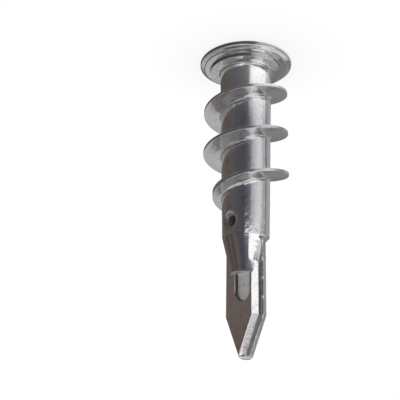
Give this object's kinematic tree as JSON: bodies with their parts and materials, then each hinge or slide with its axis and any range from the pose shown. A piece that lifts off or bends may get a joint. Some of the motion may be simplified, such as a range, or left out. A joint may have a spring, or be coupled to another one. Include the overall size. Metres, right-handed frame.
{
  "type": "self-drilling drywall anchor",
  "caption": "Self-drilling drywall anchor in cast zinc: flat round head with a cross recess, hollow drafted barrel with a coarse thread, and a flat pointed drill blade.",
  "frame": {"origin": "middle of the flat head face, on the axis of the bore", "axes": "+Z along the axis from the head to the drill point, which is up as stored; X across the width of the blade; +Y out of the broad face that has the nose, the relief and the vent"},
  "size_m": [0.014, 0.014, 0.045],
  "materials": {
    "zinc": "bright as-cast zinc alloy, lightly mottled"
  },
  "bodies": {
    "root": {"drywall_anchor": "zinc"}
  },
  "joints": []
}
